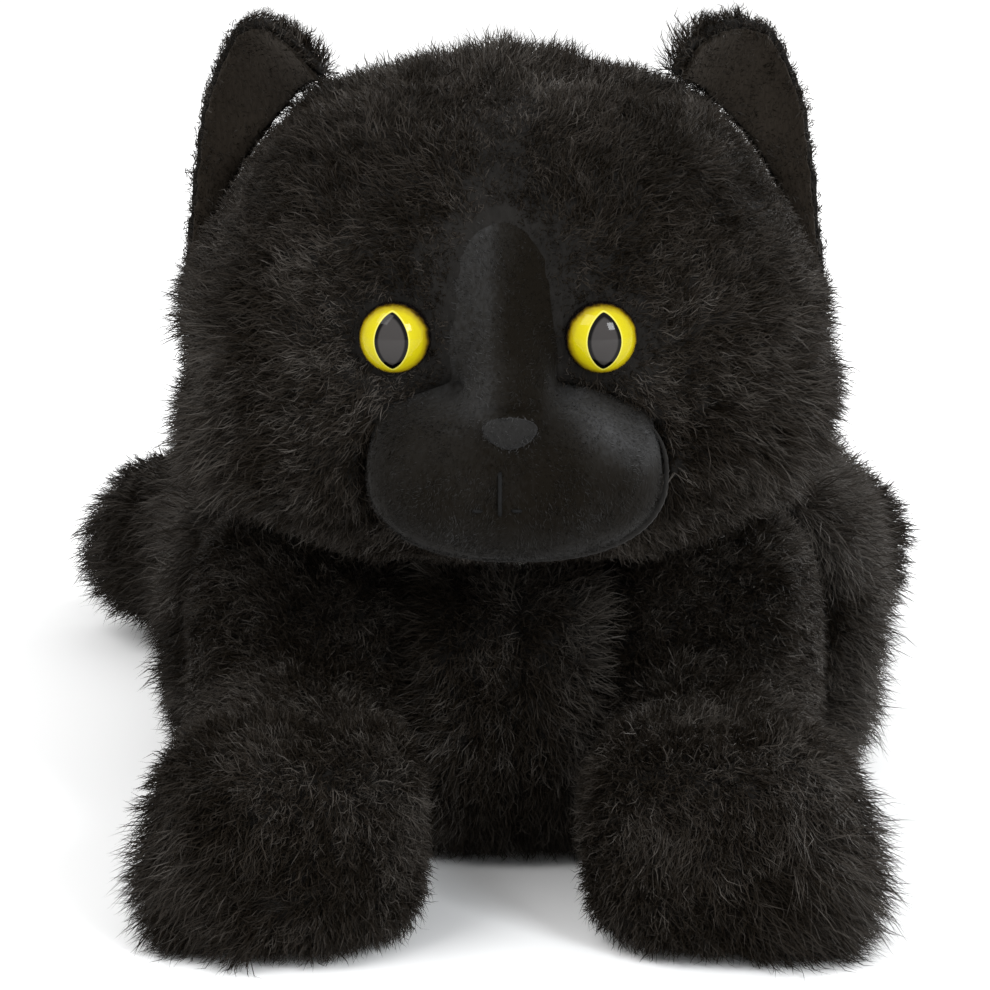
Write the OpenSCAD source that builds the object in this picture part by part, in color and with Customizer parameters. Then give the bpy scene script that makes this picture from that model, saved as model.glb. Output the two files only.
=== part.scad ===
// Plush cat lying on its belly, sewn from pile fabric panels over stuffing.
// Millimetres. +Z is up and the cat looks along -Y, so its left and right
// are named as a viewer in front of it sees them: left is -X.
// The origin lies on the flat underside of the belly, midway between the eyes
// in width, just behind the neck.

/* [Torso] */
// Length of the torso, chest to rump
torso_len = 242; // [236:1:246]
// Half the width of the torso at its widest
torso_half_w = 83; // [79:1:85]
// Height of the torso's back above the floor
torso_h = 88; // [85:1:89]
// Thickness of the pile fabric
skin = 2.5; // [2:0.1:3]

/* [Head] */
// Half the width of the head
head_half_w = 66; // [63:1:67]
// Half the depth of the head, face to nape
head_half_d = 54; // [52:1:55]
// Height of the head's widest section above the floor
head_z = 113; // [112:1:116]
// Height of the crown above that section
head_up = 61; // [58:1:63]
// Depth of the chin below that section
head_down = 43; // [40:1:44]
// Radius of the wad of stuffing in the neck
neck_r = 20; // [17:1:22]

/* [Face] */
// Diameter of the safety eyes
eye_d = 15; // [13:0.5:16]
// Distance between the eyes' centres
eye_gap = 42.4; // [40:0.2:45]
// Half the width of the muzzle
muzzle_half_w = 31; // [28:1:32]
// Width of the short-pile strip between the eyes
bridge_w = 20; // [14:1:22]

/* [Ears] */
// Width of an ear across its base
ear_w = 44; // [40:1:46]
// Height of an ear's tip above the floor
ear_tip_z = 185; // [182:1:187]
// How far the ears face outward
ear_yaw = 32; // [25:1:38]

/* [Limbs] */
// Radius of a shoulder
shoulder_r = 36; // [34:0.5:36]
// Radius of a front paw
paw_r = 26; // [23:0.5:26.5]
// Height of a front paw
paw_h = 44; // [38:1:48]
// Radius of a hip
hip_r = 30; // [28:0.5:31]
// Radius of a hind foot
foot_r = 22; // [20:0.5:23]
// Radius of the tail
tail_r = 13; // [11:0.5:13.5]

/* [Hidden] */

$fn = 64;
gap = 0.2;            // between a panel and the stuffing under it
play = 0.6;           // between pieces that move past each other
far = 400;            // longer than the cat, for cutting blocks

// Torso
torso_x = 5;                           // the chest lies a little to one side
torso_y = 22;                          // centre of the torso
torso_mid_z = 31;                      // height of its widest section
torso_down = 52;                       // depth below it, cut off by the floor
torso_rings = 20;
torso_sides = 36;
dent_z = 66;                           // the head presses the back in to this height
dent_y = -44;                          // and the back rises again behind here
dent_slope = 0.55;
belly_half = [50, 80];                 // half-sizes of the flat belly panel
shoulder_y = -58;                      // shoulder hinge
chest_half_w = 20.5;                   // the chest between the forelegs

// Head
head_x = 2;                            // the cheeks are fuller on one side
head_y = -77;
head_rings = 16;
head_sides = 28;
head_seam_row = 9;                     // the seam from ear to ear
neck_c = [0, -58, 76];

// Face
bridge_x = 1.5;                        // the face looks a little to the right
bridge_top_z = 144;
muzzle_c = [4, -124, 97];
muzzle_half_d = 23;
muzzle_half_h = 18;
muzzle_back_y = -110;                  // the muzzle's rim, sewn inside the face
muzzle_rings = 12;
muzzle_sides = 28;

// Eyes: a glossy dome with a stem, held by a washer inside the head
eye_mid_x = 0.6;                       // the eyes' middle, a little to the right
eye_z = 126;
eye_yaw = 7;
eye_dome_h = 5.6;
eye_seat = 1.2;                        // how deep the dome sits in the pile fabric
stem_r = 2;
stem_len = 13;
washer_r = 8;
washer_t = 1.6;
washer_depth = 6.5;                    // behind the eye's back face

// Ears: cupped, so both layers are slices of spherical shells
ear_x = 46.5;
ear_y = -68;
ear_cup_r = 46;
ear_back_t = 3;
ear_lining_t = 1.6;
ear_base_z = 150;                      // widest height of the pointed arch
ear_lean = 2;
crown_c = [13, -77, 123];              // the ball that fits the head under an ear
crown_r = 52.5;
ear_clear = 3;                         // above the head, so that the ear can fold
ear_straighter = 34;                   // added to the arch's radius, for upright sides
ear_slab = [-8, 16];                   // the cutting slab's back and front faces
ear_cup_up = 6;                        // height of the cup's centre above the foot
ear_hem = 2;                           // the lining ends this far inside the edge
ear_ply_gap = 0.05;                    // between the two layers

// Limbs
leg_mid_x = 2;                         // the forelegs lie a little to one side
leg_x = 44;
shoulder_half = 22.5;
shoulder_round = 12;
paw_y = -135;
paw_round = 11;
hip = [54, 84, hip_r];
foot = [80, 108, foot_r + 4];
tail_root = [0, 150, 24];
tail_chord = 88;                       // from the root to the tip's centre
tail_sag = 18;                         // how far the tail bows backward
tail_turn = 1;
tail_rings = 22;
tail_sides = 18;
tail_cap_rows = 4;

// --- Shapes ---------------------------------------------------------------

function spow(v, e) = sign(v) * pow(abs(v), e);

// A point of a pillow with its poles along Y. Row i runs from the front pole
// to the rear one and column j runs round it from +X over the top. s holds
// its half-sizes, down its depth below the middle, e how square it is, and
// front and rear the share of its width and height lost at each pole.
function pillow_point(c, s, down, e, i, rings, j, sides, front = [0, 0], rear = [0, 0]) =
    let (phi = -90 + 180 * i / rings, theta = 360 * j / sides,
         u = spow(sin(phi), e), r = spow(cos(phi), e),
         k = u < 0 ? -u * front : u * rear,
         x = s[0] * r * spow(cos(theta), e) * (1 - k[0]),
         v = r * spow(sin(theta), e) * (1 - k[1]))
    [c[0] + x, c[1] + s[1] * u, c[2] + v * (v > 0 ? s[2] : down)];

// The closed surface of a form, one row or column of points after another
module solid(form, rings, sides, inset) {
    points = [for (i = [0:rings]) for (j = [0:sides - 1]) form(i, j, inset)];
    function at(i, j) = i * sides + j % sides;
    polyhedron(points, [
        for (i = [0:rings - 1]) for (j = [0:sides - 1])
            each [[at(i, j), at(i + 1, j), at(i, j + 1)],
                  [at(i, j + 1), at(i + 1, j), at(i + 1, j + 1)]]
    ]);
}

// A fabric panel of a form: rows i0 to i1, columns j0 to j1, closed at its
// edges, as thick as the fabric
module panel(form, rings, sides, i0, i1, j0, j1) {
    m = i1 - i0 + 1;
    ring = j1 - j0 == sides;
    n = ring ? sides : j1 - j0 + 1;
    last = ring ? n - 1 : n - 2;
    points = [for (inset = [0, skin]) for (i = [i0:i1]) for (j = [j0:j0 + n - 1])
        form(i, j, inset)];
    function out(i, j) = i * n + j % n;
    function in(i, j) = m * n + out(i, j);
    function quad(a, b, c, d) = [[a, b, c], [a, c, d]];
    polyhedron(points, [
        for (i = [0:m - 2]) for (j = [0:last]) each [
            [out(i, j), out(i + 1, j), out(i, j + 1)],
            [out(i, j + 1), out(i + 1, j), out(i + 1, j + 1)],
            [in(i, j + 1), in(i + 1, j), in(i, j)],
            [in(i + 1, j + 1), in(i + 1, j), in(i, j + 1)]],
        if (i0 > 0) for (j = [0:last])
            each quad(out(0, j), out(0, j + 1), in(0, j + 1), in(0, j)),
        if (i1 < rings) for (j = [0:last])
            each quad(out(m - 1, j + 1), out(m - 1, j), in(m - 1, j), in(m - 1, j + 1)),
        if (!ring) for (i = [0:m - 2]) each concat(
            quad(out(i + 1, 0), out(i, 0), in(i, 0), in(i + 1, 0)),
            quad(out(i, n - 1), out(i + 1, n - 1), in(i + 1, n - 1), in(i, n - 1)))
    ]);
}

module block(lo, hi) {
    translate(lo) cube(hi - lo);
}

module x_cylinder(x0, x1, r) {
    translate([x0, 0, 0]) rotate([0, 90, 0]) cylinder(r = r, h = x1 - x0);
}

// A cone between two points
module taper(a, b, ra, rb) {
    d = b - a;
    translate(a)
        rotate([0, acos(d[2] / norm(d)), atan2(d[1], d[0])])
            cylinder(r1 = ra, r2 = rb, h = norm(d));
}

// A half outline with rounded corners, for a solid of revolution
module rounded_half(r, z0, z1, c) {
    translate([0, z0]) square([r - c, z1 - z0]);
    translate([0, z0 + c]) square([r, z1 - z0 - 2 * c]);
    for (z = [z0 + c, z1 - c]) translate([r - c, z]) circle(r = c);
}

module mirrored(side) {
    mirror([side < 0 ? 1 : 0, 0, 0]) children();
}

// --- Torso ----------------------------------------------------------------

torso_form = function (i, j, inset)
    let (p = pillow_point(
             [torso_x, torso_y, torso_mid_z],
             [torso_half_w - inset, torso_len / 2 - inset, torso_h - torso_mid_z - inset],
             torso_down, 0.72, i, torso_rings, j, torso_sides,
             front = [0, 0.1], rear = [0.36, 0.1]),
         dent = dent_z - inset + max(0, p[1] - dent_y) * dent_slope,
         rump = max(0, p[1] - torso_y) / (torso_len / 2))
    [p[0] - torso_x * rump, p[1], max(inset, min(p[2], dent))];

// Room for the neck, the legs and the tail
module torso_sockets() {
    translate(neck_c) sphere(r = neck_r + play);
    for (side = [-1, 1]) {
        translate([leg_mid_x, 0, 0]) mirrored(side) {
            translate([0, shoulder_y, shoulder_r])
                x_cylinder(chest_half_w, far, shoulder_r + play);
            block([chest_half_w, -far, -1], [far, shoulder_y, far]);
        }
        mirrored(side) translate(hip) sphere(r = hip_r + play);
    }
    translate(tail_root) sphere(r = tail_r + play);
}

module belly_outline(margin) {
    points = 48;
    half = belly_half + [margin, margin];
    polygon([for (k = [0:points - 1])
        let (t = 360 * k / points)
        [torso_x + half[0] * spow(cos(t), 0.7), torso_y + half[1] * spow(sin(t), 0.7)]]);
}

module back_panel(side) {
    quarter = torso_sides / 4;
    start = side > 0 ? -quarter : quarter;
    color("#1b1917") difference() {
        panel(torso_form, torso_rings, torso_sides, 0, torso_rings, start, start + 2 * quarter);
        torso_sockets();
        translate([0, 0, -1]) linear_extrude(skin + 2) belly_outline(0);
    }
}

// The flat underside that the cat lies on
module belly_panel() {
    color("#191715") difference() {
        linear_extrude(skin) belly_outline(-0.05);
        torso_sockets();
    }
}

module torso_stuffing() {
    color("#e9e6df") difference() {
        solid(torso_form, torso_rings, torso_sides, skin + gap);
        torso_sockets();
    }
}

// Hand-sewn stitches that close the stuffing hole, along the back seam
module closing_stitches() {
    count = 9;
    pitch = 5;
    thread_r = 0.5;
    stitch_w = 5;
    first_y = 0;
    color("#121110")
        for (i = [0:count - 1])
            translate([torso_x, first_y + i * pitch, torso_h - 0.7])
                x_cylinder(-stitch_w / 2, stitch_w / 2, thread_r);
}

// --- Neck and head --------------------------------------------------------

module neck_stuffing() {
    color("#e4e1da") translate(neck_c) sphere(r = neck_r);
}

module neck_socket() {
    translate(neck_c) sphere(r = neck_r + play);
}

head_form = function (i, j, inset)
    pillow_point(
        [head_x, head_y, head_z],
        [head_half_w - inset, head_half_d - inset, head_up - inset],
        head_down - inset, 0.78, i, head_rings, j, head_sides);

module eye_place(side) {
    // On the front of the face, set back by the depth of its seat
    translate([eye_mid_x, 0, 0]) mirrored(side)
        translate([eye_gap / 2, head_y - head_half_d + 2, eye_z])
            rotate([90, 0, eye_yaw]) translate([0, 0, -eye_seat]) children();
}

// Room for both eyes in the fabric
module eye_seats() {
    for (side = [-1, 1]) eye_place(side) {
        cylinder(d = eye_d + 1, h = far);
        translate([0, 0, -far / 4]) cylinder(r = stem_r + gap, h = far);
    }
}

module bridge_outline() {
    translate([bridge_x, 0, 0]) rotate([90, 0, 0])
        linear_extrude(far) {
            translate([-bridge_w / 2, muzzle_c[2]]) square([bridge_w, bridge_top_z - muzzle_c[2]]);
            translate([0, bridge_top_z]) circle(d = bridge_w);
        }
}

// The front of a pillow, then straight back to the rim inside the face
muzzle_form = function (i, j, inset)
    let (half = muzzle_rings / 2,
         p = pillow_point(
             muzzle_c,
             [muzzle_half_w - inset, muzzle_half_d - inset, muzzle_half_h - inset],
             muzzle_half_h - inset, 0.85, min(i, half), muzzle_rings, j, muzzle_sides))
    i > half ? [p[0], muzzle_back_y, p[2]] : p;

// Room for the muzzle in the face and in the stuffing behind it
module muzzle_hole() {
    half = muzzle_rings / 2;
    translate([0, muzzle_back_y + 0.3, 0]) rotate([90, 0, 0])
        linear_extrude(far)
            polygon([for (j = [0:muzzle_sides - 1])
                let (p = muzzle_form(half, j, -gap)) [p[0], p[2]]]);
}

module face_panel(side) {
    quarter = head_sides / 4;
    start = side > 0 ? -quarter : quarter;
    color("#1c1a18") difference() {
        panel(head_form, head_rings, head_sides, 0, head_seam_row, start, start + 2 * quarter);
        bridge_outline();
        muzzle_hole();
        eye_seats();
        neck_socket();
    }
}

module bridge_panel() {
    color("#26272a") difference() {
        intersection() {
            panel(head_form, head_rings, head_sides, 0, head_seam_row, 0, head_sides);
            bridge_outline();
        }
        muzzle_hole();
        eye_seats();
    }
}

module head_back_panel() {
    color("#201e1c") difference() {
        panel(head_form, head_rings, head_sides, head_seam_row, head_rings, 0, head_sides);
        neck_socket();
    }
}

module head_stuffing() {
    color("#e9e6df") difference() {
        solid(head_form, head_rings, head_sides, skin + gap);
        neck_socket();
        muzzle_hole();
        for (side = [-1, 1]) eye_place(side) {
            translate([0, 0, -stem_len - 1]) cylinder(r = stem_r + gap, h = far);
            translate([0, 0, -washer_depth - washer_t - gap]) cylinder(r = washer_r + gap, h = far);
        }
    }
}

// --- Face -----------------------------------------------------------------

module muzzle_panel() {
    color("#26272a")
        panel(muzzle_form, muzzle_rings, muzzle_sides, 0, muzzle_rings / 2 + 1, 0, muzzle_sides);
}

module muzzle_stuffing() {
    half = muzzle_rings / 2;
    back = function (i, j, inset)
        i > half + 1 ? [muzzle_c[0], muzzle_back_y, muzzle_c[2]] : muzzle_form(i, j, inset);
    color("#e9e6df") solid(back, half + 2, muzzle_sides, skin + gap);
}

module nose() {
    nose_rings = 10;
    nose_sides = 20;
    nose_form = function (i, j, inset)
        pillow_point([muzzle_c[0] - 1, muzzle_c[1] - muzzle_half_d + 2, muzzle_c[2] + 12.5],
                     [5.4, 3.6, 3.4], 3.4, 1, i, nose_rings, j, nose_sides);
    color("#3a3b3e") solid(nose_form, nose_rings, nose_sides, 0);
}

module mouth_stitch() {
    stitch_len = 9;
    thread_r = 0.5;
    color("#0e0e0e")
        translate([muzzle_c[0] - 3, muzzle_c[1] - muzzle_half_d, muzzle_c[2] - 4.5])
            cylinder(r = thread_r, h = stitch_len);
}

// Dome, rim and stem in one moulding, a solid of revolution
module eye(side) {
    r = eye_d / 2;
    ball_r = (r * r + eye_dome_h * eye_dome_h) / (2 * eye_dome_h);
    rim = 0.8;
    color("#d8cf18") eye_place(side) {
        rotate_extrude()
            intersection() {
                translate([0, rim + eye_dome_h - ball_r]) circle(r = ball_r, $fn = 96);
                square([r, rim + eye_dome_h]);
            }
        translate([0, 0, -stem_len]) cylinder(r = stem_r, h = stem_len);
    }
}

module eye_washer(side) {
    color("#f4f4f0") eye_place(side)
        translate([0, 0, -washer_depth - washer_t])
            difference() {
                cylinder(r = washer_r, h = washer_t);
                translate([0, 0, -1]) cylinder(r = stem_r + 0.05, h = washer_t + 2);
            }
}

// --- Ears -----------------------------------------------------------------

// A pointed arch with a rounded tip, widest at its foot
module ear_outline(margin) {
    half = ear_w / 2 - margin;
    rise = ear_tip_z - ear_base_z - margin;
    arc_r = (rise * rise / half + half) / 2 + ear_straighter;
    intersection() {
        translate([half - arc_r, 0]) circle(r = arc_r, $fn = 128);
        translate([arc_r - half, 0]) circle(r = arc_r, $fn = 128);
        circle(r = rise, $fn = 128);
    }
}

module ear_layer(side, r_in, r_out, margin) {
    translate([head_x, 0, 0]) mirrored(side)
        difference() {
            translate([ear_x, ear_y, ear_base_z])
                rotate([0, 0, ear_yaw]) rotate([90, -ear_lean, 0])
                    intersection() {
                        translate([0, 0, ear_slab[0]])
                            linear_extrude(ear_slab[1] - ear_slab[0]) ear_outline(margin);
                        translate([0, ear_cup_up, ear_cup_r]) difference() {
                            sphere(r = r_out);
                            sphere(r = r_in);
                        }
                    }
            translate(crown_c) sphere(r = crown_r + ear_clear);
        }
}

module ear_back(side) {
    color("#211e1b") ear_layer(side, ear_cup_r, ear_cup_r + ear_back_t, 0);
}

module ear_lining(side) {
    color("#2b2522") ear_layer(side, ear_cup_r - ear_lining_t, ear_cup_r - ear_ply_gap, ear_hem);
}

// --- Legs -----------------------------------------------------------------

module foreleg_form(side, inset) {
    arm = [leg_x, shoulder_y - 16, shoulder_r - 5.5];
    paw = [leg_x, paw_y, paw_h / 2 + 1];
    arm_r = 22.5;
    translate([leg_mid_x, 0, 0]) mirrored(side) {
        // the shoulder turns about the shoulder hinge
        translate([leg_x, shoulder_y, shoulder_r]) rotate([0, 90, 0]) rotate_extrude()
            rounded_half(shoulder_r - inset, inset - shoulder_half, shoulder_half - inset,
                         shoulder_round);
        taper(arm, paw, arm_r - inset, arm_r - 4 - inset);
        translate([leg_x, paw_y, 0]) rotate_extrude()
            rounded_half(paw_r - inset, inset, paw_h - inset, paw_round);
    }
}

module foreleg_skin(side, lo, hi) {
    color("#1a1816") difference() {
        intersection() {
            foreleg_form(side, 0);
            translate([leg_mid_x, 0, 0]) mirrored(side) block(lo, hi);
        }
        foreleg_form(side, skin);
    }
}

module foreleg_outer_panel(side) {
    foreleg_skin(side, [leg_x, -far, -1], [far, far, far]);
}

module foreleg_inner_panel(side) {
    foreleg_skin(side, [0, -far, -1], [leg_x, far, far]);
}

module foreleg_stuffing(side) {
    color("#e9e6df") foreleg_form(side, skin + gap);
}

module hindleg_form(side, inset) {
    mirrored(side) {
        translate(hip) sphere(r = hip_r - inset);
        taper(hip, foot, foot_r + 1 - inset, foot_r - 1 - inset);
        translate(foot) sphere(r = foot_r - inset);
    }
}

// The same form as one solid of revolution about the line from hip to foot
module hindleg_core(side, inset) {
    d = foot - hip;
    mirrored(side) translate(hip)
        rotate([0, acos(d[2] / norm(d)), atan2(d[1], d[0])]) rotate_extrude()
            intersection() {
                union() {
                    circle(r = hip_r - inset);
                    translate([0, norm(d)]) circle(r = foot_r - inset);
                    polygon([[0, 0], [foot_r + 1 - inset, 0],
                             [foot_r - 1 - inset, norm(d)], [0, norm(d)]]);
                }
                translate([0, -far]) square([far, 2 * far]);
            }
}

module hindleg_skin(side, lo, hi) {
    color("#1d1a18") difference() {
        intersection() {
            hindleg_form(side, 0);
            block(lo, hi);
        }
        hindleg_form(side, skin);
    }
}

module hindleg_upper_panel(side) {
    hindleg_skin(side, [-far, -far, hip_r - 4], [far, far, far]);
}

module hindleg_lower_panel(side) {
    hindleg_skin(side, [-far, -far, -1], [far, far, hip_r - 4]);
}

module hindleg_stuffing(side) {
    color("#e9e6df") hindleg_core(side, skin + gap);
}

// --- Tail -----------------------------------------------------------------

// A round-ended roll, bent into a bow: it starts in the rump and ends
// behind the left hind foot
tail_form = function (i, j, inset)
    let (bow_r = (tail_chord * tail_chord / 4 + tail_sag * tail_sag) / (2 * tail_sag),
         reach = asin(tail_chord / 2 / bow_r),
         r = tail_r - inset,
         cap = 90 * (i < tail_cap_rows ? i / tail_cap_rows - 1
                     : max(0, i - tail_rings + tail_cap_rows) / tail_cap_rows),
         run = (i - tail_cap_rows) / (tail_rings - 2 * tail_cap_rows),
         along = reach * (2 * max(0, min(1, run)) - 1) + r * sin(cap) / bow_r * 180 / PI,
         theta = 360 * j / tail_sides,
         ray = bow_r + r * cos(cap) * cos(theta),
         turn = 90 + tail_turn + along,
         centre = [-tail_chord / 2, tail_sag - bow_r],
         x = cos(tail_turn) * centre[0] - sin(tail_turn) * centre[1],
         y = sin(tail_turn) * centre[0] + cos(tail_turn) * centre[1])
    [tail_root[0] + x + ray * cos(turn),
     tail_root[1] + y + ray * sin(turn),
     tail_root[2] + r * cos(cap) * sin(theta)];

module tail_upper_panel() {
    color("#231f1b")
        panel(tail_form, tail_rings, tail_sides, 0, tail_rings, 0, tail_sides / 2);
}

module tail_lower_panel() {
    color("#231f1b")
        panel(tail_form, tail_rings, tail_sides, 0, tail_rings, tail_sides / 2, tail_sides);
}

module tail_stuffing() {
    color("#e9e6df") solid(tail_form, tail_rings, tail_sides, skin + gap);
}

// --- Nodes ----------------------------------------------------------------

back_panel(-1);  // back_panel_left
back_panel(1);  // back_panel_right
belly_panel();
torso_stuffing();
closing_stitches();
neck_stuffing();
face_panel(-1);  // face_panel_left
face_panel(1);  // face_panel_right
head_back_panel();
bridge_panel();
head_stuffing();
muzzle_panel();
muzzle_stuffing();
nose();
mouth_stitch();
eye(-1);  // eye_left
eye(1);  // eye_right
eye_washer(-1);  // eye_washer_left
eye_washer(1);  // eye_washer_right
ear_back(-1);  // ear_back_left
ear_lining(-1);  // ear_lining_left
ear_back(1);  // ear_back_right
ear_lining(1);  // ear_lining_right
foreleg_outer_panel(-1);  // foreleg_outer_panel_left
foreleg_inner_panel(-1);  // foreleg_inner_panel_left
foreleg_stuffing(-1);  // foreleg_stuffing_left
foreleg_outer_panel(1);  // foreleg_outer_panel_right
foreleg_inner_panel(1);  // foreleg_inner_panel_right
foreleg_stuffing(1);  // foreleg_stuffing_right
hindleg_upper_panel(-1);  // hindleg_upper_panel_left
hindleg_lower_panel(-1);  // hindleg_lower_panel_left
hindleg_stuffing(-1);  // hindleg_stuffing_left
hindleg_upper_panel(1);  // hindleg_upper_panel_right
hindleg_lower_panel(1);  // hindleg_lower_panel_right
hindleg_stuffing(1);  // hindleg_stuffing_right
tail_upper_panel();
tail_lower_panel();
tail_stuffing();
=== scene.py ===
"""The looks of the plush cat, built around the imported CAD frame.

Lengths are metres, +Z is up and the cat looks along -Y. Each soft part of the
frame is remeshed and smoothed, and the large ones are swollen like a stuffed
cushion. Pile is then grown on them as real strands, in tufts that are combed
the way the fabric is brushed.
"""

import math

import bmesh
import bpy
import numpy as np
from mathutils import Matrix, Vector
from mathutils.bvhtree import BVHTree


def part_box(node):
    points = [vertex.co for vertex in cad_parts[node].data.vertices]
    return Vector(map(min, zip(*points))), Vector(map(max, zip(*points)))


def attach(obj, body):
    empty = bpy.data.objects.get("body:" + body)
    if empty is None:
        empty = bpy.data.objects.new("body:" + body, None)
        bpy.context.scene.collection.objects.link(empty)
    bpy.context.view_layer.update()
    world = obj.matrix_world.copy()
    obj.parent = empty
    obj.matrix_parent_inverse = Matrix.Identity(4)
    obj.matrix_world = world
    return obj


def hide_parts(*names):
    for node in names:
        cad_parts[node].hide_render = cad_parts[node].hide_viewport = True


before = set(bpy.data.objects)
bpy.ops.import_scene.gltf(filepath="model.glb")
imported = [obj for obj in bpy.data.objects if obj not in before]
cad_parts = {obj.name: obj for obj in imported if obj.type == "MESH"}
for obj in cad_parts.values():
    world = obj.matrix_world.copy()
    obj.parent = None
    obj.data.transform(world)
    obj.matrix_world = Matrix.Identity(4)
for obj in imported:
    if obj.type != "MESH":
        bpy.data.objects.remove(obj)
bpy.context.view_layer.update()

MM = 0.001
SIDES = {"left": -1, "right": 1}

# The lowest points above the floor
SKIN_FLOOR, WAD_FLOOR, PILE_FLOOR = 0.4 * MM, 1.2 * MM, 0.3 * MM


# --- Camera and stage -------------------------------------------------------

def add_object(name, data):
    obj = bpy.data.objects.new(name, data)
    bpy.context.scene.collection.objects.link(obj)
    return obj


def add_camera():
    target = Vector((0, -0.060, 0.077))
    distance = 1.0
    tilt = math.radians(13)
    lens = 163.6
    camera = bpy.data.cameras.new("camera")
    camera.lens = lens
    camera.sensor_width = 36
    camera.clip_start = 0.05
    obj = add_object("camera", camera)
    obj.location = target + distance * Vector((0, -math.cos(tilt), math.sin(tilt)))
    obj.rotation_euler = (math.radians(90) - tilt, 0, 0)
    bpy.context.scene.camera = obj


def add_softbox(name, place, size, power, aim=(0, -0.05, 0.08), tint=(1, 1, 1)):
    light = bpy.data.lights.new(name, "AREA")
    light.shape = "RECTANGLE"
    light.size, light.size_y = size
    light.energy = power
    light.color = tint
    obj = add_object(name, light)
    obj.location = place
    away = Vector(aim) - Vector(place)
    obj.rotation_euler = away.to_track_quat("-Z", "Y").to_euler()


def add_stage():
    half = 6.0
    mesh = bpy.data.meshes.new("floor")
    corners = [(-half, -half, 0), (half, -half, 0), (half, half, 0), (-half, half, 0)]
    mesh.from_pydata(corners, [], [(0, 1, 2, 3)])
    floor = add_object("floor", mesh)
    mat, shader = material("floor_paper", (0.92, 0.92, 0.92), roughness=0.9, specular=0.1)
    mesh.materials.append(mat)
    world = bpy.data.worlds.new("studio")
    world.use_nodes = True
    world.node_tree.nodes["Background"].inputs["Color"].default_value = (1, 1, 1, 1)
    world.node_tree.nodes["Background"].inputs["Strength"].default_value = 0.95
    bpy.context.scene.world = world
    bpy.context.scene.view_settings.view_transform = "Standard"
    add_softbox("key", (-0.75, -0.75, 1.25), (0.9, 0.9), 14)
    add_softbox("window", (0.72, -1.15, 0.78), (0.38, 0.48), 14, tint=(0.94, 0.97, 1.0))
    add_softbox("rim", (0.95, 0.75, 0.7), (0.6, 0.6), 12)


# --- Materials ---------------------------------------------------------------

def material(name, colour, roughness=0.6, specular=0.3, **sockets):
    """A Principled material with its plain values on its own sockets."""
    mat = bpy.data.materials.new(name)
    mat.use_nodes = True
    shader = mat.node_tree.nodes["Principled BSDF"]
    shader.inputs["Base Color"].default_value = (*colour, 1)
    shader.inputs["Roughness"].default_value = roughness
    shader.inputs["Specular IOR Level"].default_value = specular
    for socket, value in sockets.items():
        shader.inputs[socket.replace("_", " ")].default_value = value
    return mat, shader


def cover(obj, mat):
    """Puts one material on the whole of a form."""
    obj.data.materials.clear()
    obj.data.materials.append(mat)


class Graph:
    """Short names for adding and joining nodes in one material."""

    def __init__(self, mat):
        self.tree = mat.node_tree

    def node(self, kind, **values):
        node = self.tree.nodes.new(kind)
        for key, value in values.items():
            setattr(node, key, value)
        return node

    def link(self, output, socket):
        self.tree.links.new(output, socket)

    def place(self, kind="Object"):
        return self.node("ShaderNodeTexCoord").outputs[kind]

    def noise(self, scale, detail=3.0, stretch=(1, 1, 1)):
        mapping = self.node("ShaderNodeMapping")
        mapping.inputs["Scale"].default_value = stretch
        self.link(self.place(), mapping.inputs["Vector"])
        noise = self.node("ShaderNodeTexNoise")
        noise.inputs["Scale"].default_value = scale
        noise.inputs["Detail"].default_value = detail
        self.link(mapping.outputs[0], noise.inputs["Vector"])
        return noise.outputs["Fac"]

    def ramp(self, value, stops):
        ramp = self.node("ShaderNodeValToRGB")
        elements = ramp.color_ramp.elements
        while len(elements) < len(stops):
            elements.new(0.5)
        for element, (at, colour) in zip(elements, stops):
            element.position = at
            element.color = (*colour, 1) if len(colour) == 3 else colour
        self.link(value, ramp.inputs[0])
        return ramp

    def maths(self, operation, a, b=None):
        node = self.node("ShaderNodeMath", operation=operation)
        for socket, value in zip(node.inputs, (a, b)):
            if value is None:
                continue
            if isinstance(value, (int, float)):
                socket.default_value = value
            else:
                self.link(value, socket)
        return node.outputs[0]

    def bump(self, height, strength, distance, shader):
        bump = self.node("ShaderNodeBump")
        bump.inputs["Strength"].default_value = strength
        bump.inputs["Distance"].default_value = distance
        self.link(height, bump.inputs["Height"])
        self.link(bump.outputs[0], shader.inputs["Normal"])


def fabric(name, dark, light, pile_scale, bump_mm, roughness=0.85, stops=None, drift=None,
           **sockets):
    """Cloth whose colour drifts in soft patches, with its pile in the bump.

    stops may name more colours than two, and drift a value stored on the mesh
    that moves the cloth along them.
    """
    mat, shader = material(name, dark, roughness, **sockets)
    g = Graph(mat)
    patches = g.noise(55, 3)
    pile = g.noise(pile_scale, 2, (1, 1, 0.45))
    mixed = g.maths("ADD", g.maths("MULTIPLY", patches, 0.6), g.maths("MULTIPLY", pile, 0.4))
    if drift:
        stored = g.node("ShaderNodeAttribute", attribute_name=drift)
        mixed = g.maths("ADD", mixed, stored.outputs["Fac"])
    ramp = g.ramp(mixed, stops or [(0.35, dark), (0.65, light)])
    g.link(ramp.outputs["Color"], shader.inputs["Base Color"])
    g.bump(pile, 0.7, bump_mm * MM, shader)
    return mat


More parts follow.
